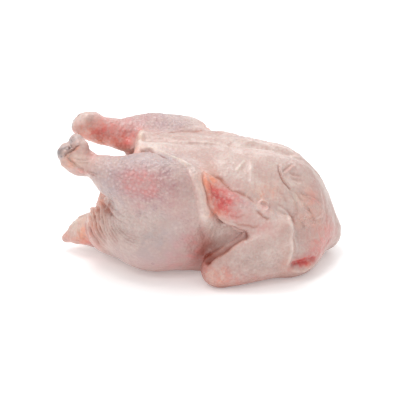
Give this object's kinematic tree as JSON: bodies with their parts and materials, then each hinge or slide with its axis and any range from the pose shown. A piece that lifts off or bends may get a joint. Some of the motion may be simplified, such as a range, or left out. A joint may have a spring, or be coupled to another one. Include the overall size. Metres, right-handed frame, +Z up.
{
  "type": "whole raw chicken",
  "caption": "Whole raw chicken, plucked and drawn, lying on its back with its wings folded, its legs back and an open body cavity between them.",
  "frame": {"origin": "on the table, below the middle of the bird's bounding box", "axes": "+X towards the neck end, +Y towards the bird's right side, +Z up through the breast"},
  "size_m": [0.2452, 0.1552, 0.1192],
  "materials": {
    "skin": "moist raw poultry skin, soft satin sheen"
  },
  "bodies": {
    "root": {"chicken": "skin"}
  },
  "joints": []
}
